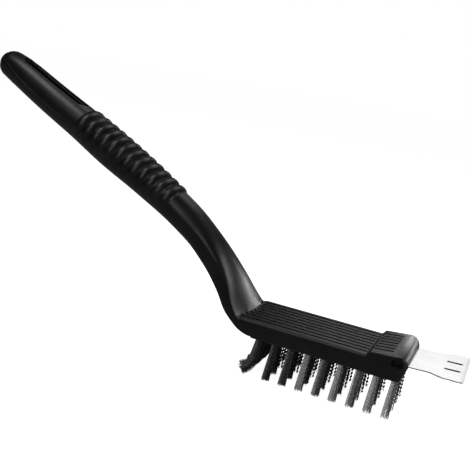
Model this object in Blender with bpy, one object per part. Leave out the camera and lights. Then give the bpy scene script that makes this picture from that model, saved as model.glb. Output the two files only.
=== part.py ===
"""Cage cleaning brush: a moulded handle and head, crimped steel wire tufts and a steel scraper blade.

Frame: +X runs along the head towards the scraper, +Y to the far side, +Z up. The bristle tips stand
on z = 0, and the origin is the middle of the underside of the bounding box.
"""

import math
import random

import bmesh
import bpy
from mathutils import Matrix, Vector

MM = 0.001

# Bristle field, which sizes the head
ROWS = 9
COLUMNS = 4
ROW_PITCH = 8.3 * MM
COLUMN_PITCH = 9.2 * MM
BRISTLE_LENGTH = 19.3 * MM
TUFT_DIAMETER = 3.8 * MM
TUFT_SEAT_DEPTH = 5.0 * MM
TUFT_CLEARANCE = 0.3 * MM
HOLE_SIDES = 12

# Head block
SIDE_MARGIN = 5.2 * MM
HEEL_MARGIN = 8.6 * MM
NOSE_MARGIN = 5.0 * MM
CROWN_WEB = 3.05 * MM
EDGE_ROUND = 1.6 * MM
BASE_STEP = 0.6 * MM
BASE_STEP_SETBACK = 3.0 * MM
GROOVE_WIDTH = 1.6 * MM
GROOVE_DEPTH = 0.9 * MM
GROOVE_PITCH = 4.2 * MM
HEAD_GROOVES = 8
FOOT_BOW = 3.6 * MM
FOOT_BITE = 0.4 * MM
GROOVE_END_GAP = 0.4 * MM

# Raised pad over the scraper's tang, and the rounded nose
PAD_LENGTH = 19.0 * MM
PAD_STEP = 1.8 * MM
PAD_STEP_RUN = 1.6 * MM
PAD_RISE = 1.3 * MM
PAD_EDGE_ROUND = 0.8 * MM
PAD_GROOVES = 7
PAD_GROOVE_LENGTH = 9.2 * MM
NOSE_ROUND = 5.0 * MM
NOSE_CORNER = 4.0 * MM
POCKET_LENGTH = 5.2 * MM
POCKET_HEIGHT = 3.4 * MM
POCKET_DEPTH = 3.0 * MM
POCKET_SETBACK = 2.2 * MM
POCKET_DROP = 0.6 * MM

# Handle
HANDLE_REACH = 161.5 * MM
HANDLE_RISE = 99.8 * MM
GRIP_WIDTH = 23.2 * MM
GRIP_THICKNESS = 19.6 * MM
END_CAP_LENGTH = 6.76 * MM
END_CAP_LIFT = 1.0 * MM
RING_SPACING = 6.5 * MM
RIB_COUNT = 12
RIB_PITCH = 5.5 * MM
RIB_HEIGHT = 1.1 * MM
RIB_START = 55.0 * MM
HANG_SLOT_LENGTH = 44.0 * MM
HANG_SLOT_WIDTH = 6.2 * MM
HANG_SLOT_START = 5.5 * MM
SLOT_RECESS_MARGIN = 1.2 * MM
SLOT_RECESS_DEPTH = 1.9 * MM

# Scraper blade
BLADE_THICKNESS = 0.6 * MM
BLADE_ROOT_WIDTH = 30.2 * MM
BLADE_TIP_WIDTH = 37.0 * MM
BLADE_EXPOSED = 24.2 * MM
BLADE_TANG = 14.0 * MM
BLADE_CLEARANCE = 0.3 * MM
BLADE_WEB = 1.15 * MM
BLADE_LIFT_ANGLE = math.radians(2.5)
BLADE_CORNER_CUT = 0.7 * MM
TIP_GRIND = 1.4 * MM
TIP_EDGE = 0.4 * MM
FLARE_START = 8.0 * MM
FLARE_LENGTH = 8.5 * MM
NICK_LENGTH = 2.2 * MM
NICK_DEPTH = 0.6 * MM
BLADE_SLOT_LENGTH = 6.8 * MM
BLADE_SLOT_WIDTH = 1.4 * MM
BLADE_SLOT_SPACING = 10.8 * MM
BLADE_SLOT_SETBACK = 2.9 * MM
PEG_DIAMETER = 4.0 * MM
PEG_SETBACK = 7.5 * MM
PEG_ROOT = 0.5 * MM
ROUND_SIDES = 16

# Bristle wires
STRANDS_PER_TUFT = 10
STRAND_SIDE = 0.52 * MM
STRAND_LEAN = 1.6 * MM
LAST_ROW_LEAN = 0.8 * MM
STRAND_SPLAY = 0.75 * MM
STRAND_CRIMP = 0.3 * MM
STRAND_STRAY = 0.08 * MM
STRAND_TRIM = 1.2 * MM
STRAND_FAN = 1.9 * MM
HOOK_WEAR = 0.5 * MM
HOOK_SPLAY = 1.3 * MM
HOOK_TURN = math.radians(54)
HOOK_SKEW = math.radians(10)

# How far any cutter runs past the face that it opens
OVERRUN = 2.0 * MM

# Places that follow from the sizes: row 1 of the tufts stands on x = 0 until the whole is centred
HEAD_WIDTH = (COLUMNS - 1) * COLUMN_PITCH + 2 * SIDE_MARGIN
UNDERSIDE_Z = BRISTLE_LENGTH
SEAT_TOP_Z = UNDERSIDE_Z + TUFT_SEAT_DEPTH
HEAD_TOP_Z = SEAT_TOP_Z + CROWN_WEB + GROOVE_DEPTH
HEEL_THICKNESS = HEAD_TOP_Z - UNDERSIDE_Z - BASE_STEP
HEEL_MID_Z = HEAD_TOP_Z - HEEL_THICKNESS / 2
HEEL_RUN = HEEL_MARGIN - BASE_STEP_SETBACK
FIELD_LENGTH = (ROWS - 1) * ROW_PITCH
FOOT_X = -HEEL_MARGIN
NOSE_X = FIELD_LENGTH + NOSE_MARGIN
RIDGE_X = NOSE_X - PAD_LENGTH
PAD_TOP_Z = HEAD_TOP_Z + PAD_STEP + PAD_RISE
TANG_Z = SEAT_TOP_Z + BLADE_WEB + BLADE_CLEARANCE + BLADE_THICKNESS / 2
BLADE_Z = TANG_Z + BLADE_TANG * math.sin(BLADE_LIFT_ANGLE)

# Handle and neck, from the end cap down to the head. Each row holds shares of the reach and of the
# rise, the section's slope in degrees, and five more shares: fullness of the grip, widening to the
# head's width, thinning to the heel's thickness, squareness of the corners and arching of the top.
HANDLE_SHARES = (
    (1.000, 1.008, 19.0, 0.76, 0.00, 0.00, 0.00, 1.00),
    (0.952, 0.973, 24.0, 0.83, 0.00, 0.00, 0.00, 1.00),
    (0.826, 0.870, 26.0, 0.89, 0.00, 0.00, 0.00, 1.00),
    (0.700, 0.772, 27.0, 0.93, 0.00, 0.00, 0.00, 1.00),
    (0.573, 0.667, 26.0, 0.98, 0.00, 0.00, 0.00, 1.00),
    (0.450, 0.568, 27.5, 0.93, 0.00, 0.00, 0.00, 1.00),
    (0.330, 0.463, 31.0, 0.86, 0.00, 0.00, 0.00, 1.00),
    (0.272, 0.406, 33.5, 0.85, 0.00, 0.02, 0.00, 1.00),
    (0.220, 0.347, 38.5, 0.83, 0.01, 0.15, 0.12, 1.00),
    (0.173, 0.284, 44.5, 0.87, 0.05, 0.39, 0.36, 1.00),
    (0.129, 0.217, 48.5, 0.88, 0.18, 0.60, 0.60, 1.00),
    (0.085, 0.139, 50.0, 0.90, 0.42, 0.78, 0.78, 1.00),
    (0.050, 0.070, 47.0, 0.95, 0.74, 0.92, 0.90, 1.00),
)
# The foot's sharp corner, in the same terms, but with its places as shares of the heel's run and of
# its thickness. Each of these rows is a ring, with one more half way to the next.
FOOT_SHARES = (
    (0.460, 0.245, 33.7, 1.00, 0.93, 1.12, 1.00, 0.65),
    (0.071, 0.090, 17.5, 1.00, 0.98, 1.11, 1.00, 0.25),
    (-0.548, 0.012, 5.0, 1.00, 1.00, 1.01, 1.00, 0.00),
    (-0.923, 0.000, 0.0, 1.00, 1.00, 1.00, 1.00, 0.00),
)
FOOT_ROWS = len(FOOT_SHARES)
# The neck's sections, which bend fast, are closer together than the grip's
NECK_START_SHARE = 0.60
# The end cap's rings, by their turn in degrees from its base, and each rib's rings
END_CAP_TURNS = (72, 50, 30, 13)
RIB_RING_SHARES = (0.0, 0.2, 0.5, 0.8)
# How far below the middle a rib starts to fade, and how blunt its crest is
RIB_FADE_SHARE = 0.8
RIB_CREST_POWER = 0.7
SHARP_ANGLE = math.radians(35)

# Nose, from the end of the pad's flat top to the blade: the upper roll's turn in degrees, then the
# lower face's shares of the nose's round and of the height from the underside to the blade
NOSE_SHARES = (
    (0.0, 1.00, 0.00),
    (18.0, 0.80, 0.00),
    (34.0, 0.62, 0.03),
    (48.0, 0.46, 0.13),
    (62.0, 0.31, 0.32),
    (76.0, 0.16, 0.62),
    (88.0, 0.03, 0.90),
)
CORNER_POINTS = 7
# Blade: points on the flare and on the slots' round ends, the nick's flat floor, and the weld
FLARE_STEPS = 6
SLOT_END_STEPS = 4
NICK_FLOOR_SHARES = (0.3, 0.7)
WELD_SHARE = 0.005
# Each wire's joints: the share of its length, how much of the crimp it has there, and how much of
# row 1's hook the stretch above the joint has
STRAND_SHARES = ((0.34, 1.0, 0.0), (0.68, -1.0, 0.0), (1.0, 0.4, 0.0))
HOOKED_STRAND_SHARES = ((0.36, 0.8, 0.0), (0.65, -0.8, 0.0), (0.79, 0.3, 0.45), (1.0, 0.0, 1.0))
AXIS_X = Vector((1, 0, 0))
AXIS_Y = Vector((0, 1, 0))
AXIS_Z = Vector((0, 0, 1))
# Row 1 hooks back towards the handle, and a little to the near side
HOOK_AXIS = Vector((-math.sin(HOOK_SKEW), math.cos(HOOK_SKEW), 0))


def smooth_between(knots, rows, at):
    """The rows' values at one place, on a smooth curve through all of them."""
    i = max(0, min(len(knots) - 2, sum(1 for knot in knots[1:-1] if knot <= at)))
    span = knots[i + 1] - knots[i]
    t = (at - knots[i]) / span

    def slope(j, k):
        low, high = max(j - 1, 0), min(j + 1, len(knots) - 1)
        return (rows[high][k] - rows[low][k]) / (knots[high] - knots[low])

    return [
        rows[i][k] * (2 * t**3 - 3 * t**2 + 1)
        + rows[i + 1][k] * (3 * t**2 - 2 * t**3)
        + slope(i, k) * span * (t**3 - 2 * t**2 + t)
        + slope(i + 1, k) * span * (t**3 - t**2)
        for k in range(len(rows[0]))
    ]


def handle_stations():
    """Both tables of shares as real places and half sizes, with each row's distance along the handle."""
    rows = []
    for shares, run, height in (
        (HANDLE_SHARES, HANDLE_REACH, HANDLE_RISE),
        (FOOT_SHARES, HEEL_RUN, HEEL_THICKNESS),
    ):
        for reach, rise, slope, full, widen, thin, square, arch in shares:
            x = FOOT_X - reach * run
            z = HEEL_MID_Z + rise * height
            half_width = (GRIP_WIDTH * full * (1 - widen) + HEAD_WIDTH * widen) / 2
            half_height = (GRIP_THICKNESS * full * (1 - thin) + HEEL_THICKNESS * thin) / 2
            rows.append((x, z, math.radians(slope), half_width, half_height, square, widen, arch))
    along = [0.0]
    for before, after in zip(rows, rows[1:]):
        along.append(along[-1] + math.hypot(after[0] - before[0], after[1] - before[1]))
    return along, rows


ALONG, STATIONS = handle_stations()


def section(top, bottom, half_width, square, rib=0.0, bow=0.0, edge=EDGE_ROUND, arch=0.0):
    """One closed section between two points of the side view: a rectangle with elliptical corners,
    an ellipse at square 0. An arch draws its upper corners out until they meet, a rib swells its sides
    and top and leaves the underside smooth, and a bow draws the upper corners back along the handle."""
    middle = (top + bottom) / 2
    up = top - middle
    height = up.length
    up.normalize()
    tight = min(edge, half_width / 2, height / 2)
    round_y = half_width * (1 - square) + tight * square
    round_z = height * (1 - square) + tight * square
    arched_y = max(round_y, half_width * min(1.0, arch))
    outline = []
    for quarter in range(4):
        sign_y = 1 if quarter < 2 else -1
        sign_z = 1 if quarter in (0, 3) else -1
        corner_y = arched_y if sign_z > 0 else round_y
        if quarter % 2:
            outline.append((sign_y * half_width, 0.0))
        else:
            outline.append((0.0, sign_z * height))
        for i in range(CORNER_POINTS):
            turn = (i + 0.5) / CORNER_POINTS * math.pi / 2
            if quarter % 2:
                turn = math.pi / 2 - turn
            across = half_width - corner_y + corner_y * math.sin(turn)
            rise = height - round_z + round_z * math.cos(turn)
            outline.append((sign_y * across, sign_z * rise))
    ring = []
    for across, rise in outline:
        upper = min(1.0, max(0.0, rise / height + RIB_FADE_SHARE))
        swell = rib * upper * upper * (3 - 2 * upper) if upper < 1 else rib
        outward = Vector((across / half_width**2, rise / height**2)).normalized()
        across += swell * outward.x
        rise += swell * outward.y
        back = bow * (across / half_width) ** 2 * ((1 + rise / height) / 2) ** 2
        ring.append(middle + AXIS_Y * across + up * rise - AXIS_X * back)
    return ring


def rib_at(along):
    """The ribs' height above the grip: round crests with sharp valleys between them."""
    turn = (along - RIB_START) / RIB_PITCH
    if turn <= 0 or turn >= RIB_COUNT:
        return 0.0
    return RIB_HEIGHT * math.sin(math.pi * (turn % 1.0)) ** RIB_CREST_POWER


def handle_section(along):
    """The handle's section at a distance along it."""
    x, z, slope, half_width, half_height, square, widen, arch = smooth_between(ALONG, STATIONS, along)
    half_width = min(half_width, HEAD_WIDTH / 2)
    up = Vector((math.sin(slope), 0, math.cos(slope)))
    middle = Vector((x, 0, z))
    top, bottom = middle + up * half_height, middle - up * half_height
    return section(top, bottom, half_width, square, rib_at(along), FOOT_BOW * widen, arch=arch)


def end_cap_middle(turn):
    """The middle of the end cap's section at a turn from its base: the cap leans up as it closes."""
    x, z, slope = STATIONS[0][:3]
    out = Vector((-math.cos(slope), 0, math.sin(slope))) * END_CAP_LENGTH * math.sin(turn)
    up = Vector((math.sin(slope), 0, math.cos(slope)))
    return Vector((x, 0, z)) + out + up * END_CAP_LIFT * (1 - math.cos(turn)), up


def end_cap_section(turn):
    middle, up = end_cap_middle(turn)
    half_width, half_height, square = STATIONS[0][3:6]
    rise = up * half_height * math.cos(turn)
    return section(middle + rise, middle - rise, half_width * math.cos(turn), square)


def spaced(start, end, most):
    """Even places from start to just before end, no further apart than most."""
    steps = max(1, math.ceil((end - start) / most))
    return [start + (end - start) * i / steps for i in range(steps)]


def handle_rings():
    rings = [end_cap_section(math.radians(turn)) for turn in END_CAP_TURNS]
    rib_end = RIB_START + RIB_COUNT * RIB_PITCH
    neck_start = ALONG[0] + NECK_START_SHARE * ALONG[-1]
    places = spaced(0, RIB_START, RING_SPACING)
    for rib in range(RIB_COUNT):
        places += [RIB_START + (rib + share) * RIB_PITCH for share in RIB_RING_SHARES]
    places += spaced(rib_end, max(rib_end, neck_start), RING_SPACING)
    places += spaced(max(rib_end, neck_start), ALONG[-FOOT_ROWS], RING_SPACING / 2)
    for before, after in zip(ALONG[-FOOT_ROWS:], ALONG[1 - FOOT_ROWS:]):
        places += [before, (before + after) / 2]
    places.append(ALONG[-1])
    rings += [handle_section(along) for along in places]
    return rings


def head_rings():
    half = HEAD_WIDTH / 2

    def upright(x, top_z, edge=EDGE_ROUND):
        return section(Vector((x, 0, top_z)), Vector((x, 0, UNDERSIDE_Z)), half, 1.0, edge=edge)

    rings = [upright(x, HEAD_TOP_Z) for x in (-BASE_STEP_SETBACK, RIDGE_X / 2, RIDGE_X)]
    rings.append(upright(RIDGE_X + PAD_STEP_RUN, HEAD_TOP_Z + PAD_STEP, PAD_EDGE_ROUND))
    roll_x = NOSE_X - NOSE_ROUND
    blade_height = BLADE_Z - UNDERSIDE_Z
    for turn, back, lift in NOSE_SHARES:
        turn = math.radians(turn)
        top_x = roll_x + NOSE_ROUND * math.sin(turn)
        top_z = BLADE_Z + (PAD_TOP_Z - BLADE_Z) * math.cos(turn)
        low = Vector((NOSE_X - NOSE_ROUND * back, 0, UNDERSIDE_Z + blade_height * lift))
        past = max(0.0, top_x - (NOSE_X - NOSE_CORNER))
        narrow = NOSE_CORNER - math.sqrt(max(0.0, NOSE_CORNER**2 - past**2))
        rings.append(section(Vector((top_x, 0, top_z)), low, half - narrow, 1.0, edge=PAD_EDGE_ROUND))
    return rings


RINGS = handle_rings() + head_rings()
HANDLE_END_X = min(point.x for ring in RINGS for point in ring)
BLADE_TIP_X = (
    NOSE_X
    + BLADE_EXPOSED * math.cos(BLADE_LIFT_ANGLE)
    + BLADE_THICKNESS / 2 * math.sin(BLADE_LIFT_ANGLE)
)
CENTRE_X = (HANDLE_END_X + BLADE_TIP_X) / 2


def new_object(name, mesh, collection):
    obj = bpy.data.objects.new(name, mesh)
    obj.location.x = -CENTRE_X
    collection.objects.link(obj)
    return obj


def mesh_from(bm, name):
    bmesh.ops.recalc_face_normals(bm, faces=bm.faces)
    mesh = bpy.data.meshes.new(name)
    bm.to_mesh(mesh)
    bm.free()
    return mesh


def loft_mesh(name, rings, tip):
    """Quads between rings, a fan to the tip at the first ring and a flat face on the last."""
    bm = bmesh.new()
    loops = [[bm.verts.new(point) for point in ring] for ring in rings]
    count = len(loops[0])
    pole = bm.verts.new(tip)
    for i in range(count):
        j = (i + 1) % count
        bm.faces.new((pole, loops[0][i], loops[0][j]))
        for before, after in zip(loops, loops[1:]):
            bm.faces.new((before[i], after[i], after[j], before[j]))
    bm.faces.new(loops[-1])
    return mesh_from(bm, name)


def add_box(bm, size, matrix):
    made = bmesh.ops.create_cube(bm, size=1.0)
    bmesh.ops.scale(bm, vec=size, verts=made["verts"])
    bmesh.ops.transform(bm, matrix=matrix, verts=made["verts"])


def add_cylinder(bm, radius, length, middle, sides, turn=0.0):
    place = Matrix.Translation(middle) @ Matrix.Rotation(turn, 4, "Z")
    bmesh.ops.create_cone(
        bm, cap_ends=True, segments=sides, radius1=radius, radius2=radius, depth=length, matrix=place
    )


def grip_prism_mesh(name, margin, low, high):
    """A prism with round ends, square to the grip, over the hang slot and a margin around it. Low and
    high are its ends' heights above the grip's middle line."""
    middle_along = HANG_SLOT_START + HANG_SLOT_LENGTH / 2
    x, z, slope = smooth_between(ALONG, STATIONS, middle_along)[:3]
    place = Matrix.Translation((x, 0, z)) @ Matrix.Rotation(slope, 4, "Y")
    length, width = HANG_SLOT_LENGTH + 2 * margin, HANG_SLOT_WIDTH + 2 * margin
    bm = bmesh.new()
    rim = [bm.verts.new((*point, low)) for point in stadium(0, 0, length, width, ROUND_SIDES // 2)]
    face = bm.faces.new(rim)
    extruded = bmesh.ops.extrude_face_region(bm, geom=[face])
    moved = [item for item in extruded["geom"] if isinstance(item, bmesh.types.BMVert)]
    bmesh.ops.translate(bm, vec=(0, 0, high - low), verts=moved)
    bmesh.ops.transform(bm, matrix=place, verts=bm.verts)
    return mesh_from(bm, name)


def cut_hang_slot(body, cutters):
    """The slot goes right through the grip, and has a shallow recess around it on both faces."""
    half_height = smooth_between(ALONG, STATIONS, HANG_SLOT_START + HANG_SLOT_LENGTH / 2)[4]
    floor, beyond = half_height - SLOT_RECESS_DEPTH, half_height + OVERRUN
    for name, margin, low, high in (
        ("cut_hang_slot", 0, -beyond, beyond),
        ("cut_upper_recess", SLOT_RECESS_MARGIN, floor, beyond),
        ("cut_lower_recess", SLOT_RECESS_MARGIN, -beyond, -floor),
    ):
        cut(body, add_cutter(name, grip_prism_mesh(name, margin, low, high), cutters))


def tuft_places():
    """(row, column, x, y) of each tuft, row 1 at the handle and column 1 at the near side."""
    for row in range(ROWS):
        for column in range(COLUMNS):
            yield row + 1, column + 1, row * ROW_PITCH, (column - (COLUMNS - 1) / 2) * COLUMN_PITCH


def tuft_holes_mesh():
    bm = bmesh.new()
    radius = TUFT_DIAMETER / 2 + TUFT_CLEARANCE
    length = TUFT_SEAT_DEPTH + OVERRUN
    half_turn = math.pi / HOLE_SIDES
    for _row, _column, x, y in tuft_places():
        middle = (x, y, SEAT_TOP_Z - length / 2)
        add_cylinder(bm, radius, length, middle, HOLE_SIDES, half_turn)
    return mesh_from(bm, "tuft_holes")


def grooves_mesh():
    """Long grooves on the head's top, from the neck's foot to the pad, and those on the pad."""
    bm = bmesh.new()
    height = GROOVE_DEPTH + OVERRUN
    for i in range(HEAD_GROOVES):
        y = (i - (HEAD_GROOVES - 1) / 2) * GROOVE_PITCH
        start = FOOT_X - FOOT_BITE - FOOT_BOW * (y / (HEAD_WIDTH / 2)) ** 2
        end = RIDGE_X - GROOVE_END_GAP
        middle = ((start + end) / 2, y, HEAD_TOP_Z - GROOVE_DEPTH + height / 2)
        add_box(bm, (end - start, GROOVE_WIDTH, height), Matrix.Translation(middle))
    flat_length = PAD_LENGTH - PAD_STEP_RUN - NOSE_ROUND
    tilt = math.atan2(PAD_RISE, flat_length)
    step_top = Matrix.Translation((RIDGE_X + PAD_STEP_RUN, 0, HEAD_TOP_Z + PAD_STEP))
    slope = step_top @ Matrix.Rotation(-tilt, 4, "Y")
    for i in range(PAD_GROOVES):
        y = (i - (PAD_GROOVES - 1) / 2) * GROOVE_PITCH
        middle = (PAD_GROOVE_LENGTH / 2, y, height / 2 - GROOVE_DEPTH)
        size = (PAD_GROOVE_LENGTH, GROOVE_WIDTH, height)
        add_box(bm, size, slope @ Matrix.Translation(middle))
    return mesh_from(bm, "grooves")


def pockets_mesh():
    """A pocket in each side of the nose, beside the scraper's tang."""
    bm = bmesh.new()
    depth = POCKET_DEPTH + OVERRUN
    for side in (-1, 1):
        middle = (
            NOSE_X - POCKET_SETBACK - POCKET_LENGTH / 2,
            side * (HEAD_WIDTH / 2 + OVERRUN - depth / 2),
            BLADE_Z - POCKET_DROP + POCKET_HEIGHT / 2,
        )
        add_box(bm, (POCKET_LENGTH, depth, POCKET_HEIGHT), Matrix.Translation(middle))
    return mesh_from(bm, "side_pockets")


def blade_seat_mesh():
    """The slot for the tang, in the scraper's own frame: its x = 0 is the front of the nose."""
    bm = bmesh.new()
    length = BLADE_TANG + BLADE_CLEARANCE + OVERRUN
    size = (length, BLADE_ROOT_WIDTH + 2 * BLADE_CLEARANCE, BLADE_THICKNESS + 2 * BLADE_CLEARANCE)
    add_box(bm, size, Matrix.Translation((OVERRUN - length / 2, 0, 0)))
    return mesh_from(bm, "blade_seat")


def peg_mesh():
    bm = bmesh.new()
    length = BLADE_THICKNESS + 2 * BLADE_CLEARANCE + 2 * PEG_ROOT
    add_cylinder(bm, PEG_DIAMETER / 2, length, (-PEG_SETBACK, 0, 0), ROUND_SIDES)
    return mesh_from(bm, "tang_peg")


def blade_outline():
    """The blade's edge, near side first: tang, straight root, flare, nick and ground tip."""
    root, tip = BLADE_ROOT_WIDTH / 2, BLADE_TIP_WIDTH / 2
    flare_end = FLARE_START + FLARE_LENGTH
    half = [(-BLADE_TANG, root - BLADE_CORNER_CUT), (BLADE_CORNER_CUT - BLADE_TANG, root)]
    for i in range(FLARE_STEPS + 1):
        share = i / FLARE_STEPS
        widening = (tip - root) * share * share * (3 - 2 * share)
        half.append((FLARE_START + share * FLARE_LENGTH, root + widening))
    end = [(BLADE_EXPOSED - BLADE_CORNER_CUT, tip), (BLADE_EXPOSED, tip - BLADE_CORNER_CUT)]
    nick = [(flare_end + NICK_LENGTH * share, tip - NICK_DEPTH) for share in NICK_FLOOR_SHARES]
    nick.append((flare_end + NICK_LENGTH, tip))
    near = [(x, -y) for x, y in half + nick + end]
    far = [(x, y) for x, y in half + end]
    return near + far[::-1]


def circle(middle_x, radius):
    turns = [i * 2 * math.pi / ROUND_SIDES for i in range(ROUND_SIDES)]
    return [(middle_x + radius * math.cos(turn), radius * math.sin(turn)) for turn in turns]


def stadium(middle_x, middle_y, length, width, end_steps=SLOT_END_STEPS):
    radius = width / 2
    points = []
    for end in (1, -1):
        for i in range(end_steps + 1):
            turn = i * math.pi / end_steps - math.pi / 2
            x = middle_x + end * (length / 2 - radius + radius * math.cos(turn))
            points.append((x, middle_y + end * radius * math.sin(turn)))
    return points


def blade_mesh():
    """The flat outline with its two slots and peg hole, as a filled curve made a mesh."""
    data = bpy.data.curves.new("scraper_outline", "CURVE")
    data.dimensions = "2D"
    data.fill_mode = "BOTH"
    data.extrude = BLADE_THICKNESS / 2
    slot_x = BLADE_EXPOSED - BLADE_SLOT_SETBACK - BLADE_SLOT_LENGTH / 2
    outlines = [blade_outline(), circle(-PEG_SETBACK, PEG_DIAMETER / 2 + BLADE_CLEARANCE)]
    for side in (-1, 1):
        slot_y = side * BLADE_SLOT_SPACING / 2
        outlines.append(stadium(slot_x, slot_y, BLADE_SLOT_LENGTH, BLADE_SLOT_WIDTH))
    for outline in outlines:
        spline = data.splines.new("POLY")
        spline.points.add(len(outline) - 1)
        for point, (x, y) in zip(spline.points, outline):
            point.co = (x, y, 0, 1)
        spline.use_cyclic_u = True
    curve = bpy.data.objects.new("scraper_outline", data)
    bpy.context.scene.collection.objects.link(curve)
    graph = bpy.context.evaluated_depsgraph_get()
    mesh = bpy.data.meshes.new_from_object(curve.evaluated_get(graph))
    bpy.data.objects.remove(curve)
    bm = bmesh.new()
    bm.from_mesh(mesh)
    bmesh.ops.remove_doubles(bm, verts=bm.verts, dist=BLADE_THICKNESS * WELD_SHARE)
    return mesh_from(bm, "scraper_blade")


def tip_grind_mesh():
    """A wedge above the blade's end that leaves a thin working edge."""
    bm = bmesh.new()
    drop = math.atan2(BLADE_THICKNESS - TIP_EDGE, TIP_GRIND)
    size = (2 * TIP_GRIND + OVERRUN, BLADE_TIP_WIDTH + 2 * OVERRUN, OVERRUN)
    start = Matrix.Translation((BLADE_EXPOSED - TIP_GRIND, 0, BLADE_THICKNESS / 2))
    slope = start @ Matrix.Rotation(drop, 4, "Y")
    add_box(bm, size, slope @ Matrix.Translation((size[0] / 2, 0, OVERRUN / 2)))
    return mesh_from(bm, "tip_grind")


def tuft_mesh(name, row, x, y, chance):
    """Ten crimped wires on the slug that packs their folded roots into the hole. The slug's lower
    face is a lattice of triangles, and each wire grows from one of them."""
    bm = bmesh.new()
    radius = TUFT_DIAMETER / 2
    spacing = radius / 2
    lattice = {}
    for a in range(-2, 3):
        for b in range(-2, 3):
            if abs(a + b) > 2:
                continue
            place = Vector(((a + b / 2) * spacing, b * spacing * math.sqrt(3) / 2))
            if max(abs(a), abs(b), abs(a + b)) == 2:
                place = place.normalized() * radius
            lattice[a, b] = bm.verts.new((x + place.x, y + place.y, UNDERSIDE_Z))
    growing = []
    for a, b in lattice:
        if (a + 1, b) in lattice and (a, b + 1) in lattice:
            growing.append((lattice[a, b], lattice[a + 1, b], lattice[a, b + 1]))
        if (a + 1, b) in lattice and (a + 1, b - 1) in lattice:
            bm.faces.new((lattice[a, b], lattice[a + 1, b - 1], lattice[a + 1, b]))
    chance.shuffle(growing)
    for root in growing[STRANDS_PER_TUFT:]:
        bm.faces.new(root)
    crimp_turn = chance.uniform(0, 2 * math.pi)
    crimp = Vector((math.cos(crimp_turn), math.sin(crimp_turn), 0)) * STRAND_CRIMP
    for root in growing[:STRANDS_PER_TUFT]:
        add_strand(bm, root, row, Vector((x, y, UNDERSIDE_Z)), crimp, chance)
    outer = [step for step in lattice if max(abs(step[0]), abs(step[1]), abs(sum(step))) == 2]
    rim = [lattice[step] for step in outer]
    rim.sort(key=lambda vert: math.atan2(vert.co.y - y, vert.co.x - x))
    top_z = SEAT_TOP_Z - TUFT_CLEARANCE
    top = [bm.verts.new((vert.co.x, vert.co.y, top_z)) for vert in rim]
    for i in range(len(rim)):
        j = (i + 1) % len(rim)
        bm.faces.new((rim[i], rim[j], top[j], top[i]))
    bm.faces.new(top)
    return mesh_from(bm, name)


def add_strand(bm, root, row, tuft_middle, crimp, chance):
    """One three-sided wire from its root triangle down to its cut tip, hooked back in row 1."""
    start = sum((vert.co for vert in root), Vector()) / 3
    outward = (start - tuft_middle) / (TUFT_DIAMETER / 2)
    length = UNDERSIDE_Z - max(0.0, chance.uniform(-STRAND_TRIM, STRAND_TRIM))
    if row == 1:
        length -= HOOK_WEAR
    stray = Vector((chance.uniform(-1, 1), chance.uniform(-1, 1), 0)) * STRAND_STRAY
    back = STRAND_LEAN + (LAST_ROW_LEAN - STRAND_LEAN) * (row - 1) / (ROWS - 1)
    lean = Vector((-back, STRAND_FAN * tuft_middle.y / (HEAD_WIDTH / 2), 0))
    line = tuft_middle.copy()
    above = 0.0
    before = list(root)
    for share, wave, hook in HOOKED_STRAND_SHARES if row == 1 else STRAND_SHARES:
        bent = Matrix.Rotation(HOOK_TURN * hook, 3, HOOK_AXIS)
        line += (lean - bent @ AXIS_Z * length) * (share - above)
        above = share
        splay = HOOK_SPLAY if row == 1 else STRAND_SPLAY
        aside = start - tuft_middle + outward * splay * share
        centre = line + bent @ aside + (crimp + stray) * wave
        after = []
        for vert in root:
            spread = (vert.co - start).normalized() * STRAND_SIDE / math.sqrt(3)
            after.append(bm.verts.new(centre + bent @ spread))
        for i in range(3):
            j = (i + 1) % 3
            bm.faces.new((before[i], before[j], after[j], after[i]))
        before = after
    bm.faces.new(before)


def plastic():
    return material("black_polypropylene", (0.012, 0.012, 0.013), 0.42, 0.0)


def steel_wire():
    return material("crimped_steel_wire", (0.32, 0.32, 0.33), 0.35, 1.0)


def stainless_sheet():
    return material("stainless_sheet", (0.82, 0.82, 0.83), 0.25, 1.0)


def material(name, colour, roughness, metallic):
    made = bpy.data.materials.new(name)
    made.use_nodes = True
    shader = made.node_tree.nodes["Principled BSDF"]
    shader.inputs["Base Color"].default_value = (*colour, 1)
    shader.inputs["Roughness"].default_value = roughness
    shader.inputs["Metallic"].default_value = metallic
    made.diffuse_color = (*colour, 1)
    return made


def cut(obj, cutter, operation="DIFFERENCE"):
    modifier = obj.modifiers.new(cutter.name, "BOOLEAN")
    modifier.object = cutter
    modifier.operation = operation
    modifier.solver = "EXACT"


def add_cutter(name, mesh, collection, parent=None):
    cutter = new_object(name, mesh, collection)
    cutter.hide_render = True
    cutter.display_type = "WIRE"
    if parent:
        cutter.parent = parent
        cutter.location = (0, 0, 0)
    return cutter


def build_handle_head(parts, cutters, blade_frame):
    tip, _up = end_cap_middle(math.pi / 2)
    body = new_object("handle_head", loft_mesh("handle_head", RINGS, tip), parts)
    body.data.materials.append(plastic())
    body.data.shade_smooth()
    body.data.set_sharp_from_angle(angle=SHARP_ANGLE)
    cut_hang_slot(body, cutters)
    cut(body, add_cutter("cut_grooves", grooves_mesh(), cutters))
    cut(body, add_cutter("cut_tuft_holes", tuft_holes_mesh(), cutters))
    cut(body, add_cutter("cut_blade_seat", blade_seat_mesh(), cutters, blade_frame))
    cut(body, add_cutter("join_tang_peg", peg_mesh(), cutters, blade_frame), "UNION")
    cut(body, add_cutter("cut_side_pockets", pockets_mesh(), cutters))
    return body


def build_blade(parts, cutters, blade_frame):
    blade = new_object("scraper_blade", blade_mesh(), parts)
    blade.parent = blade_frame
    blade.location = (0, 0, 0)
    blade.data.materials.clear()
    blade.data.materials.append(stainless_sheet())
    cut(blade, add_cutter("cut_tip_grind", tip_grind_mesh(), cutters, blade_frame))
    return blade


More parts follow.
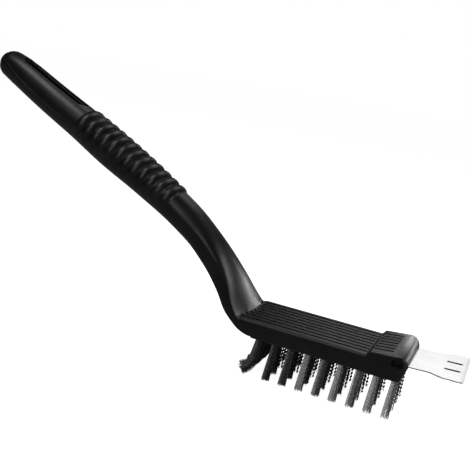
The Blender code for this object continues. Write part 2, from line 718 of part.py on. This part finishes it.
def build_tufts(parts):
    wire = steel_wire()
    for row, column, x, y in tuft_places():
        name = f"tuft_r{row}_c{column}"
        chance = random.Random(100 * row + column)
        tuft = new_object(name, tuft_mesh(name, row, x, y, chance), parts)
        tuft.data.materials.append(wire)


def main():
    for obj in list(bpy.data.objects):
        bpy.data.objects.remove(obj, do_unlink=True)
    scene = bpy.context.scene
    parts = bpy.data.collections.new("cage_cleaning_brush")
    cutters = bpy.data.collections.new("cutters")
    scene.collection.children.link(parts)
    scene.collection.children.link(cutters)
    blade_frame = bpy.data.objects.new("blade_frame", None)
    blade_frame.location = (NOSE_X - CENTRE_X, 0, BLADE_Z)
    blade_frame.rotation_euler = (0, -BLADE_LIFT_ANGLE, 0)
    parts.objects.link(blade_frame)
    build_handle_head(parts, cutters, blade_frame)
    build_blade(parts, cutters, blade_frame)
    build_tufts(parts)
    bpy.context.view_layer.update()


main()
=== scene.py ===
"""Looks of the cage cleaning brush: one satin black moulding, crimped steel wire tufts and a scraper blade.

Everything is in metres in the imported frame: +X runs along the head towards the scraper blade, +Y to the
far side and +Z up. The wire tips stand on z = 0. Turns are in radians.
"""

import math
import random

import bmesh
import bpy
from mathutils import Matrix, Quaternion, Vector


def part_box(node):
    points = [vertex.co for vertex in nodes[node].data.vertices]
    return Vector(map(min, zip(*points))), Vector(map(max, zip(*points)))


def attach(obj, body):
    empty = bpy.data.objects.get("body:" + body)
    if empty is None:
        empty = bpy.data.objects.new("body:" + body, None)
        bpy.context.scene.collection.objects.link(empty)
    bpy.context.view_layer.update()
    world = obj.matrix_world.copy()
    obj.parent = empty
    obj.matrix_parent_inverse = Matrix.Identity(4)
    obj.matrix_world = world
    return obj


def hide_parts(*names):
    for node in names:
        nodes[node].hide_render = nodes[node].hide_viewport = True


MM = 0.001
AXIS_Z = Vector((0.0, 0.0, 1.0))
NOISE_MIDDLE = 0.5
CLOUD_DETAIL = 3.0
BEVEL_SAMPLES = 6

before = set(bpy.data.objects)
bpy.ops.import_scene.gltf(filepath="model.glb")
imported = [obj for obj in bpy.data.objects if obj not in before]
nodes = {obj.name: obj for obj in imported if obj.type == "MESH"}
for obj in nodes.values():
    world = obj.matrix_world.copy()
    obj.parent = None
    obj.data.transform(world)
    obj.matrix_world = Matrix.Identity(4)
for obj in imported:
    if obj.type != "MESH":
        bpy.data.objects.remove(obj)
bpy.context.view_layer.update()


# Helpers that the sections share: objects and meshes first, then node trees and materials.
def placed(name, data):
    """A new object of the scene."""
    obj = bpy.data.objects.new(name, data)
    bpy.context.scene.collection.objects.link(obj)
    return obj


def mesh_from(bm, name):
    """The mesh that was built, which ends its building."""
    mesh = bpy.data.meshes.new(name)
    bm.to_mesh(mesh)
    bm.free()
    return mesh


def grey(value):
    return (value, value, value, 1.0)


class Signal:
    """One output of a node tree. Sums and products of signals add the Math nodes that they need."""

    def __init__(self, tree, socket):
        self.tree = tree
        self.socket = socket

    def node(self, kind, settings, inputs, output=0):
        """Adds a node, first with its settings and then with its inputs, and returns one output."""
        return add_node(self.tree, kind, settings, inputs, output)

    def calculate(self, operation, first, second=0.0):
        return self.node("ShaderNodeMath", {"operation": operation}, {0: first, 1: second})

    def __add__(self, other):
        return self.calculate("ADD", self, other)

    def __sub__(self, other):
        return self.calculate("SUBTRACT", self, other)

    def __rsub__(self, other):
        return self.calculate("SUBTRACT", other, self)

    def __mul__(self, other):
        return self.calculate("MULTIPLY", self, other)

    def __truediv__(self, other):
        return self.calculate("DIVIDE", self, other)

    def __abs__(self):
        return self.calculate("ABSOLUTE", self)

    __radd__ = __add__

    def at_least(self, low):
        return self.calculate("MAXIMUM", self, low)

    def square_root(self):
        return self.calculate("SQRT", self)

    def rise(self, low, high):
        """0 at low, 1 at high, smooth between them and level beyond."""
        inputs = {"Value": self, "From Min": low, "From Max": high}
        return self.node("ShaderNodeMapRange", {"interpolation_type": "SMOOTHSTEP"}, inputs)

    def xyz(self):
        return [self.node("ShaderNodeSeparateXYZ", {}, {0: self}, axis) for axis in "XYZ"]

    def stretched(self, scale):
        return self.node("ShaderNodeMapping", {}, {"Vector": self, "Scale": scale})

    def noise(self, size, detail=2.0):
        """Cloudy values around NOISE_MIDDLE, with patches of about that size."""
        inputs = {"Vector": self, "Scale": 1 / size, "Detail": detail}
        return self.node("ShaderNodeTexNoise", {}, inputs, "Fac")

    def blend(self, first, second):
        """From the first colour where this is 0 to the second where it is 1."""
        inputs = {"Factor": self, 6: first, 7: second}
        return self.node("ShaderNodeMix", {"data_type": "RGBA"}, inputs, 2)


def add_node(tree, kind, settings, inputs, output=0):
    made = tree.nodes.new(kind)
    for name, value in settings.items():
        setattr(made, name, value)
    for name, value in inputs.items():
        if isinstance(value, Signal):
            tree.links.new(value.socket, made.inputs[name])
        else:
            made.inputs[name].default_value = value
    return Signal(tree, made.outputs[output])


def feed(shader, **inputs):
    """Sets or links the shader's sockets, named with underscores for spaces."""
    for name, value in inputs.items():
        socket = shader.inputs[name.replace("_", " ")]
        if isinstance(value, Signal):
            value.tree.links.new(value.socket, socket)
        else:
            socket.default_value = value


def new_material(name):
    """A material and its shader."""
    material = bpy.data.materials.new(name)
    material.use_nodes = True
    return material, material.node_tree.nodes["Principled BSDF"]


def new_finish(name):
    """A material, its shader and its object coordinates."""
    material, shader = new_material(name)
    return material, shader, add_node(material.node_tree, "ShaderNodeTexCoord", {}, {}, "Object")


def broken_edges(place, radius):
    """Normals that round every sharp edge by that radius."""
    return place.node("ShaderNodeBevel", {"samples": BEVEL_SAMPLES}, {"Radius": radius})


def bumped(height, normal):
    """Normals tilted by a height in metres, over the given normals."""
    inputs = {"Strength": 1.0, "Distance": 1.0, "Height": height, "Normal": normal}
    return height.node("ShaderNodeBump", {}, inputs)


# Camera: a short telephoto a little above the brush, near the end with the bristles, rolled so that
# the head falls away to the right as in the photograph.
CAMERA_PLACE = Vector((142.8, -342.2, 143.6)) * MM
CAMERA_AIM = Vector((14.1, 0.0, 62.4)) * MM
CAMERA_ROLL = math.radians(9.55)
SENSOR_WIDTH_MM = 36.0
FOCAL_LENGTH_MM = 57.45
NEAREST_SEEN = 10 * MM

camera_data = bpy.data.cameras.new("camera")
camera_data.sensor_width = SENSOR_WIDTH_MM
camera_data.lens = FOCAL_LENGTH_MM
camera_data.clip_start = NEAREST_SEEN
camera = placed("camera", camera_data)
camera.location = CAMERA_PLACE
camera.rotation_mode = "QUATERNION"
camera_turn = (CAMERA_AIM - CAMERA_PLACE).to_track_quat("-Z", "Y")
camera.rotation_quaternion = camera_turn @ Quaternion(AXIS_Z, CAMERA_ROLL)
bpy.context.scene.camera = camera
bpy.context.scene.view_settings.view_transform = "Standard"


# Floor: a wide sheet of matt white board. Gloss on the brush doesn't see it, as in the photograph,
# where the sides of the head stay nearly black.
FLOOR_SIZE = 12.0
FLOOR_WHITE = 0.85
FLOOR_ROUGHNESS = 0.9
FLOOR_GLOW = 0.95

bm = bmesh.new()
bmesh.ops.create_grid(bm, x_segments=1, y_segments=1, size=FLOOR_SIZE / 2)
floor = placed("floor", mesh_from(bm, "floor"))
floor.visible_glossy = False
board, board_shader = new_material("white_board")
feed(
    board_shader,
    Base_Color=grey(FLOOR_WHITE),
    Roughness=FLOOR_ROUGHNESS,
    Specular_IOR_Level=0.0,
    Emission_Color=grey(1.0),
    Emission_Strength=FLOOR_GLOW,
)
floor.data.materials.append(board)


# Light: a dim room and eight soft boxes, none of which the camera sees. Two draw the highlight along the
# grip, the largest is overhead, one close by whitens the blade, and four low ones light the neck's foot,
# the nose, the lands and the wires.
ROOM_LOW = 0.12
ROOM_HIGH = 0.05
ROOM_RISE = (-0.02, 0.12)

# Each soft box: the point that it lights, the direction from there to the box, then its distance, width
# and height, and its glow, where the white background's is 1.
SOFT_BOXES = {
    "front_soft_box": ((-0.09, 0.0, 0.11), (0.05, -0.75, 0.65), 0.7, 0.2, 0.6, 2.1),
    "grip_soft_box": ((-0.115, 0.0, 0.12), (-0.1, -0.2, 0.95), 0.3, 0.12, 0.12, 4.0),
    "overhead_soft_box": ((0.03, 0.0, 0.03), (0.0, 0.5, 0.87), 0.9, 0.5, 0.5, 1.3),
    "blade_soft_box": ((0.12, 0.0, 0.027), (-0.1, 0.35, 0.85), 0.11, 0.055, 0.055, 4.4),
    "low_right_soft_box": ((0.03, 0.0, 0.03), (0.42, 0.9, 0.08), 0.8, 0.3, 0.1, 4.5),
    "low_back_soft_box": ((0.1, 0.0, 0.03), (0.05, 0.97, 0.2), 0.25, 0.0625, 0.03, 7.2),
    "side_soft_box": ((0.1, 0.0, 0.01), (0.93, -0.3, 0.15), 0.5, 0.3, 0.2, 4.0),
    "nose_soft_box": ((0.1, 0.0, 0.03), (-0.2, 0.9, 0.4), 0.8, 0.15, 0.12, 1.4),
}

world = bpy.data.worlds.new("studio")
bpy.context.scene.world = world
world.use_nodes = True
sky = world.node_tree
_across, _away, sky_height = add_node(sky, "ShaderNodeTexCoord", {}, {}, "Generated").xyz()
room = sky_height.rise(*ROOM_RISE).blend(grey(ROOM_LOW), grey(ROOM_HIGH))
seen = add_node(sky, "ShaderNodeLightPath", {}, {}, "Is Camera Ray")
sky.links.new(seen.blend(room, grey(1.0)).socket, sky.nodes["Background"].inputs["Color"])

for name, (lit_point, direction, distance, width, height, glow) in SOFT_BOXES.items():
    light_data = bpy.data.lights.new(name, "AREA")
    light_data.shape = "RECTANGLE"
    light_data.size = width
    light_data.size_y = height
    light_data.energy = glow * math.pi * width * height
    light = placed(name, light_data)
    toward = Vector(direction).normalized()
    light.location = Vector(lit_point) + toward * distance
    light.visible_camera = False
    light.rotation_mode = "QUATERNION"
    light.rotation_quaternion = (-toward).to_track_quat("-Z", "Y")


# Handle and head: one moulding of black polypropylene with a fine spark-eroded grain. The two halves of
# its mould meet in a faint raised line along each side of the grip's end, and its edges are just broken.
PLASTIC_BLACK = (0.0022, 0.0022, 0.0023, 1.0)
PLASTIC_WORN = (0.0045, 0.0045, 0.0047, 1.0)
WEAR_RISE = (0.45, 0.75)
PLASTIC_ROUGHNESS = 0.34
CLOUD_ROUGHNESS = 0.12
GRAIN_ROUGHNESS = 0.08
CLOUD_SIZE = 14.0 * MM
GRAIN_SIZE = 0.35 * MM
GRAIN_DEPTH = 0.02 * MM
EDGE_BREAK = 0.3 * MM
SMOOTH_LIMIT = math.radians(32)
WELD_DISTANCE = 0.001 * MM

# The mould's line: seen from the side a parabola from its start, which fades out along X.
LINE_START_X = -123.6 * MM
LINE_START_Z = 122.8 * MM
LINE_SLOPE = -0.70
LINE_CURVE = 4.3
LINE_WIDTH = 0.22 * MM
LINE_HEIGHT = 0.3 * MM
LINE_FADE = (-100.0 * MM, -78.0 * MM)


def black_plastic():
    material, shader, place = new_finish("black_plastic_finish")
    x, _y, z = place.xyz()
    along = x - LINE_START_X
    line_z = LINE_START_Z + along * LINE_SLOPE + along * along * LINE_CURVE
    line = (1 - (abs(z - line_z) / LINE_WIDTH).rise(0.0, 1.0)) * (1 - x.rise(*LINE_FADE))
    grain = place.noise(GRAIN_SIZE)
    clouds = place.noise(CLOUD_SIZE, CLOUD_DETAIL)
    cloud_roughness = (clouds - NOISE_MIDDLE) * CLOUD_ROUGHNESS
    grain_roughness = (grain - NOISE_MIDDLE) * GRAIN_ROUGHNESS
    relief = grain * GRAIN_DEPTH + line * LINE_HEIGHT
    feed(
        shader,
        Base_Color=clouds.rise(*WEAR_RISE).blend(PLASTIC_BLACK, PLASTIC_WORN),
        Roughness=PLASTIC_ROUGHNESS + cloud_roughness + grain_roughness,
        Normal=bumped(relief, broken_edges(place, EDGE_BREAK)),
    )
    return material


def merged_copy(name, node):
    """The node's solid as one skin, smooth but for its real edges."""
    mesh = nodes[node].data.copy()
    mesh.name = name
    mesh.attributes.remove(mesh.attributes["custom_normal"])
    bm = bmesh.new()
    bm.from_mesh(mesh)
    bmesh.ops.remove_doubles(bm, verts=bm.verts, dist=WELD_DISTANCE)
    bm.to_mesh(mesh)
    bm.free()
    mesh.shade_smooth()
    mesh.set_sharp_from_angle(angle=SMOOTH_LIMIT)
    return placed(name, mesh)


moulding = merged_copy("moulding", "handle_head")
moulding.data.materials.clear()
moulding.data.materials.append(black_plastic())
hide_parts("handle_head")
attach(moulding, "root")


# Scraper blade: stainless sheet, brushed along its length, with a shallow centre-punch dimple.
# Painted shade, a dark band in the steel's colour, darkens its two slots. Its tang is held inside the nose.
BLADE_BRIGHT = (0.98, 0.98, 0.985, 1.0)
BLADE_DULL = (0.90, 0.90, 0.905, 1.0)
BRIGHT_RISE = (0.3, 0.7)
BLADE_ROUGHNESS = 0.52
SMUDGE_ROUGHNESS = 0.08
BRUSH_ROUGHNESS = 0.08
SMUDGE_SIZE = 9.0 * MM
BRUSH_PITCH = 0.12 * MM
BRUSH_STRETCH = 0.02
BRUSH_DEPTH = 0.002 * MM
DIMPLE_PLACE = Vector((119.6, 2.4, 27.0)) * MM
DIMPLE_RADIUS = 1.4 * MM
DIMPLE_DEPTH = 0.12 * MM
BLADE_EDGE_BREAK = 0.12 * MM
SLOT_MIDDLE_X = 129.85 * MM
SLOT_MIDDLE_Y = 5.4 * MM
SLOT_LENGTH = 6.8 * MM
SLOT_WIDTH = 1.4 * MM
# Painted shade round each slot: a dark band that fades out between these distances from the slot's edge.
SLOT_SHADE_BAND = (0.1 * MM, 0.55 * MM)
SLOT_PAINTED_SHADE = (0.012, 0.012, 0.012, 1.0)


def brushed_stainless():
    material, shader, place = new_finish("brushed_stainless_finish")
    x, y, _z = place.xyz()
    beyond = (abs(x - SLOT_MIDDLE_X) - (SLOT_LENGTH - SLOT_WIDTH) / 2).at_least(0.0)
    beside = abs(y) - SLOT_MIDDLE_Y
    from_slot = (beyond * beyond + beside * beside).square_root() - SLOT_WIDTH / 2
    # Painted shade: a dark band in the steel's colour round each slot, fading out from its edge.
    painted_slot_shade = 1 - from_slot.rise(*SLOT_SHADE_BAND)
    brushing = place.stretched((BRUSH_STRETCH, 1.0, 1.0)).noise(BRUSH_PITCH)
    smudges = place.noise(SMUDGE_SIZE, CLOUD_DETAIL)
    from_dimple = place.node(
        "ShaderNodeVectorMath", {"operation": "DISTANCE"}, {0: place, 1: DIMPLE_PLACE}, "Value"
    )
    dimple = 1 - from_dimple.rise(0.0, DIMPLE_RADIUS)
    relief = brushing * BRUSH_DEPTH - dimple * DIMPLE_DEPTH
    steel = ((brushing + smudges) / 2).rise(*BRIGHT_RISE).blend(BLADE_DULL, BLADE_BRIGHT)
    feed(
        shader,
        Base_Color=painted_slot_shade.blend(steel, SLOT_PAINTED_SHADE),
        Metallic=1.0,
        Roughness=BLADE_ROUGHNESS + smudges * SMUDGE_ROUGHNESS + brushing * BRUSH_ROUGHNESS,
        Normal=bumped(relief, broken_edges(place, BLADE_EDGE_BREAK)),
    )
    return material


nodes["scraper_blade"].material_slots[0].material = brushed_stainless()


# Wire tufts: crimped steel wire, bent double and packed into each hole of the head, then trimmed level.
# Row 1, next to the handle, is hooked back by use. Each tuft stands for its solid.
ROW_COUNT = 9
ROW_SEED_STEP = 100
TUFT_WIDTH = 2.0 * MM
TUFT_DEPTH = 2.6 * MM
TUFT_SPREAD = 1.55
TUFT_TURN_SPREAD = 0.12
LANE_TURN = 0.36
LANE_JITTER = 0.04 * MM
SIDE_FAN_SHARE = 0.1
TRIM_SHARE = 0.9

# One wire: a three-sided rod whose steps are crimped to one side and the other by turns. The crimp grows
# to its full height over the first sixth of the wire.
WIRE_RADIUS = 0.2 * MM
WIRE_SIDES = 3
WIRE_STEPS = 20
CRIMP_GROWTH = 6

# The rows change evenly from the first one, at the handle, to the last.
FIRST_ROW_WIRES = 28
LAST_ROW_WIRES = 12
FIRST_ROW_LEAN = 1.6 * MM
LAST_ROW_LEAN = 0.8 * MM
FIRST_ROW_TURN_SPREAD = 0.45
LAST_ROW_TURN_SPREAD = 0.1
# Painted sheen: a painted reflection that makes the wires' colour lighter row by row towards the blade.
FIRST_ROW_PAINTED_SHEEN = 0.22
LAST_ROW_PAINTED_SHEEN = 1.0

# The columns, from the near side to the far side.
COLUMN_LANES = (5, 5, 3, 3)
COLUMN_WIRE_SHARES = (1.7, 1.5, 1.2, 1.0)
COLUMN_STAGGERS = (0.5, 0.5, 0.0, 0.0)
COLUMN_CRIMPS = (0.06 * MM, 0.14 * MM, 0.38 * MM, 0.40 * MM)
COLUMN_CRIMP_TURNS = (1.9, 1.2, 0.4, 0.3)
# Painted sheen per column: a painted reflection, lightest in the near column.
COLUMN_PAINTED_SHEENS = (1.3, 0.7, 0.25, 0.4)

# The hooked row.
HOOKED_WIRES = 70
HOOKED_LANES = 10
HOOKED_CRIMP = 0.08 * MM
HOOKED_SPREAD = 2.5
HOOK_TURN = math.radians(56)
HOOK_SKEW = math.radians(10)
HOOK_FROM = 0.58
HOOK_TO = 0.92
HOOK_WEAR = 1.0 * MM
HOOK_AXIS = Vector((-math.sin(HOOK_SKEW), math.cos(HOOK_SKEW), 0.0))

# The hole in the head and the root slug that fills it above the wires' ends.
HOLE_DEPTH = 4.4 * MM
ROOT_DEPTH = 0.5 * MM
SLUG_RADIUS = 1.8 * MM
SLUG_SIDES = 12

# The steel: each lane of wires has its own tone, mostly dark, and each wire differs a little from it.
# A painted sheen, which is a painted reflection, lightens the wires by row, by column and on each tuft's
# handle side.
WIRE_DARK = (0.03, 0.03, 0.032, 1.0)
WIRE_BRIGHT = (0.98, 0.98, 0.985, 1.0)
TONE_RISE = (0.1, 0.8)
LANE_TONE_POWER = 2
OWN_TONE_SHARE = 0.25
SCALE_TONE_SHARE = 0.2
SCALE_SIZE = 0.8 * MM
SCALE_ROUGHNESS = 0.2
WIRE_ROUGHNESS = 0.16
WIRE_METAL_SHARE = 0.6


def steel_wire():
    material, shader, place = new_finish("steel_wire_finish")
    wire_tone_and_sheen = place.node("ShaderNodeAttribute", {"attribute_name": "wire_tone_and_sheen"}, {}, "Fac")
    scale = place.noise(SCALE_SIZE)
    tone_and_sheen = wire_tone_and_sheen * (1 - SCALE_TONE_SHARE) + scale * SCALE_TONE_SHARE
    feed(
        shader,
        Base_Color=tone_and_sheen.rise(*TONE_RISE).blend(WIRE_DARK, WIRE_BRIGHT),
        Metallic=WIRE_METAL_SHARE,
        Roughness=WIRE_ROUGHNESS + scale * SCALE_ROUGHNESS,
    )
    return material


def by_row(row, first, last):
    """A value that changes evenly from the first row to the last."""
    return first + (last - first) * (row - 1) / (ROW_COUNT - 1)


def straight_wire():
    """One wire of unit length from z = 0 down, ready to be bent."""
    bm = bmesh.new()
    bmesh.ops.create_cone(
        bm, cap_ends=True, segments=WIRE_SIDES, radius1=WIRE_RADIUS, radius2=WIRE_RADIUS, depth=1.0
    )
    bmesh.ops.translate(bm, verts=bm.verts, vec=(0, 0, -0.5))
    along = [edge for edge in bm.edges if edge.verts[0].co.z != edge.verts[1].co.z]
    bmesh.ops.subdivide_edges(bm, edges=along, cuts=WIRE_STEPS - 1, use_grid_fill=True)
    return mesh_from(bm, "straight_wire")


def tuft_mouth(name):
    """The middle of the mouth of the tuft's hole, below its solid's root slug."""
    solid_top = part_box(name)[1].z
    mouth_z = solid_top - HOLE_DEPTH
    slug = [vert.co for vert in nodes[name].data.vertices if vert.co.z > mouth_z + HOLE_DEPTH / 2]
    middle_x = (min(co.x for co in slug) + max(co.x for co in slug)) / 2
    middle_y = (min(co.y for co in slug) + max(co.y for co in slug)) / 2
    return Vector((middle_x, middle_y, mouth_z))


def tuft_line(row, mouth, length):
    """The place and the bend at each step down the middle of a tuft."""
    lean = Vector((-by_row(row, FIRST_ROW_LEAN, LAST_ROW_LEAN), mouth.y * SIDE_FAN_SHARE, 0.0))
    place = mouth.copy()
    line = []
    for step in range(WIRE_STEPS + 1):
        share = step / WIRE_STEPS
        hook = min(1.0, max(0.0, (share - HOOK_FROM) / (HOOK_TO - HOOK_FROM))) if row == 1 else 0.0
        bend = Quaternion(HOOK_AXIS, HOOK_TURN * hook)
        if step:
            place = place + (lean - bend @ AXIS_Z * length) / WIRE_STEPS
        line.append((place, bend))
    return line


def add_wire(bm, wire, line, aside, spread, crimp, trim, tone_and_sheen):
    """Bends one more straight wire into the tuft along its line: crimped, spread and trimmed."""
    start = len(bm.verts)
    bm.from_mesh(wire)
    bm.verts.ensure_lookup_table()
    tone_and_sheen_layer = bm.verts.layers.float["wire_tone_and_sheen"]
    for vert in bm.verts[start:]:
        step = round(-vert.co.z * WIRE_STEPS)
        share = step / WIRE_STEPS
        wave = 1.0 if step % 2 else -1.0
        place, bend = line[step]
        if step == WIRE_STEPS:
            place = place.lerp(line[step - 1][0], trim)
        offset = aside * (1 + (spread - 1) * share) + crimp * wave * min(1.0, CRIMP_GROWTH * share)
        section = Vector((vert.co.x, vert.co.y, 0.0))
        vert.co = place + bend @ (offset + section)
        if step == 0:
            vert.co.z += ROOT_DEPTH
        vert[tone_and_sheen_layer] = tone_and_sheen


def add_slug(bm, mouth):
    """Fills the hole above the wires' ends, which reach a little way into its mouth."""
    height = HOLE_DEPTH - ROOT_DEPTH
    bmesh.ops.create_cone(
        bm,
        cap_ends=True,
        segments=SLUG_SIDES,
        radius1=SLUG_RADIUS,
        radius2=SLUG_RADIUS,
        depth=height,
        matrix=Matrix.Translation(mouth + AXIS_Z * (ROOT_DEPTH + height / 2)),
    )


wire = straight_wire()
wire_finish = steel_wire()
for name in sorted(node for node in nodes if node.startswith("tuft_")):
    row, column = (int(word[1:]) for word in name.split("_")[1:])
    in_row = column - 1
    chance = random.Random(ROW_SEED_STEP * row + column)
    crimp_turn = chance.gauss(COLUMN_CRIMP_TURNS[in_row], TUFT_TURN_SPREAD)
    turn_spread = by_row(row, FIRST_ROW_TURN_SPREAD, LAST_ROW_TURN_SPREAD)
    # Painted reflection: the wires' colour is scaled lighter by row and by column.
    painted_sheen = by_row(row, FIRST_ROW_PAINTED_SHEEN, LAST_ROW_PAINTED_SHEEN) * COLUMN_PAINTED_SHEENS[in_row]
    stagger = COLUMN_STAGGERS[in_row]
    mouth = tuft_mouth(name)
    if row == 1:
        wires, lanes, crimp_height = HOOKED_WIRES, HOOKED_LANES, HOOKED_CRIMP
        spread = HOOKED_SPREAD
        line = tuft_line(row, mouth, mouth.z - HOOK_WEAR)
    else:
        wires = round(by_row(row, FIRST_ROW_WIRES, LAST_ROW_WIRES) * COLUMN_WIRE_SHARES[in_row])
        lanes, crimp_height = COLUMN_LANES[in_row], COLUMN_CRIMPS[in_row]
        spread = TUFT_SPREAD
        line = tuft_line(row, mouth, mouth.z)
    pitch = TUFT_WIDTH / (lanes - 1)
    # Lane tones differ at random but are sorted lightest first, which paints a reflection along the handle
    # side of each tuft.
    lane_tones_with_painted_sheen = sorted((chance.random() ** LANE_TONE_POWER for _lane in range(lanes)), reverse=True)
    bm = bmesh.new()
    bm.verts.layers.float.new("wire_tone_and_sheen")
    for i in range(wires):
        lane = i % lanes
        deep = i // lanes
        across = (lane - (lanes - 1) / 2 + stagger * (deep % 2)) * pitch
        # The outer lanes are shorter than the middle one, which rounds the tuft.
        from_middle = 2 * lane / (lanes - 1) - 1
        along = ((deep + 0.5) * lanes / wires - 0.5) * TUFT_DEPTH * math.sqrt(1 - from_middle**2 / 2)
        aside = Vector((across + chance.gauss(0.0, LANE_JITTER), along, 0.0))
        aside.rotate(Quaternion(AXIS_Z, LANE_TURN))
        tone_and_sheen = painted_sheen * (lane_tones_with_painted_sheen[lane] * (1 - OWN_TONE_SHARE) + chance.random() * OWN_TONE_SHARE)
        trim = max(0.0, chance.uniform(-TRIM_SHARE, TRIM_SHARE))
        turn = crimp_turn + chance.gauss(0.0, turn_spread)
        crimp = Vector((math.cos(turn), math.sin(turn), 0.0)) * crimp_height
        if lane % 2:
            crimp.negate()
        add_wire(bm, wire, line, aside, spread, crimp, trim, tone_and_sheen)
    add_slug(bm, mouth)
    mesh = mesh_from(bm, name.replace("tuft", "wires"))
    mesh.shade_smooth()
    mesh.materials.append(wire_finish)
    tuft = placed(mesh.name, mesh)
    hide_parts(name)
    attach(tuft, "root")
